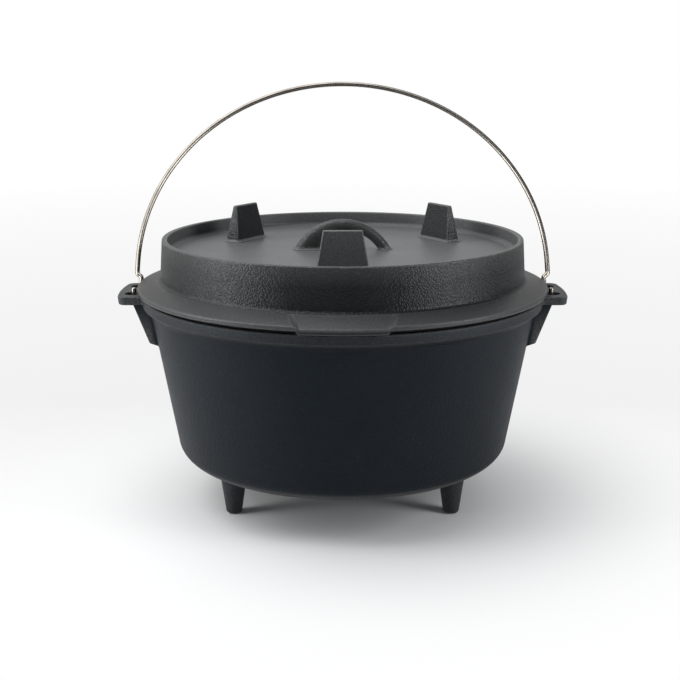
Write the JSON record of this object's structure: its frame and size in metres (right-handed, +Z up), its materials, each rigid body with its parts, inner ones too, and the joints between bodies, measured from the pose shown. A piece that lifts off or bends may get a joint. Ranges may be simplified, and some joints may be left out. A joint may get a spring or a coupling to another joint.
{
  "type": "camp dutch oven",
  "caption": "Legged cast-iron camp oven with a sloping wall, pierced ears, a wire bail and a lift-off lid whose raised rim holds coals around a loop handle and feet.",
  "frame": {"origin": "on the ground under the middle of the pot, midway between the ears", "axes": "+Z up, X through the two ears, the lid's lip and front foot face -Y"},
  "size_m": [0.362, 0.33, 0.3355],
  "materials": {
    "pot_iron": "satin, fine sand-cast grain, seasoned",
    "lid_iron": "satin, sand-cast grain, seasoned",
    "bail_steel": "bright drawn wire"
  },
  "bodies": {
    "pot": {"pot": "pot_iron"},
    "lid": {"lid": "lid_iron"},
    "bail": {"bail_handle": "bail_steel"}
  },
  "joints": [
    {"name": "bail_swing", "type": "hinge", "parent": "pot", "child": "bail", "pos_m": [0, 0, 0.17385], "axis": [1, 0, 0], "range_deg": [0, 148]},
    {"name": "lid_lift", "type": "slide", "parent": "pot", "child": "lid", "axis": [0, 0, 1], "range_m": [0, 0.06]}
  ]
}
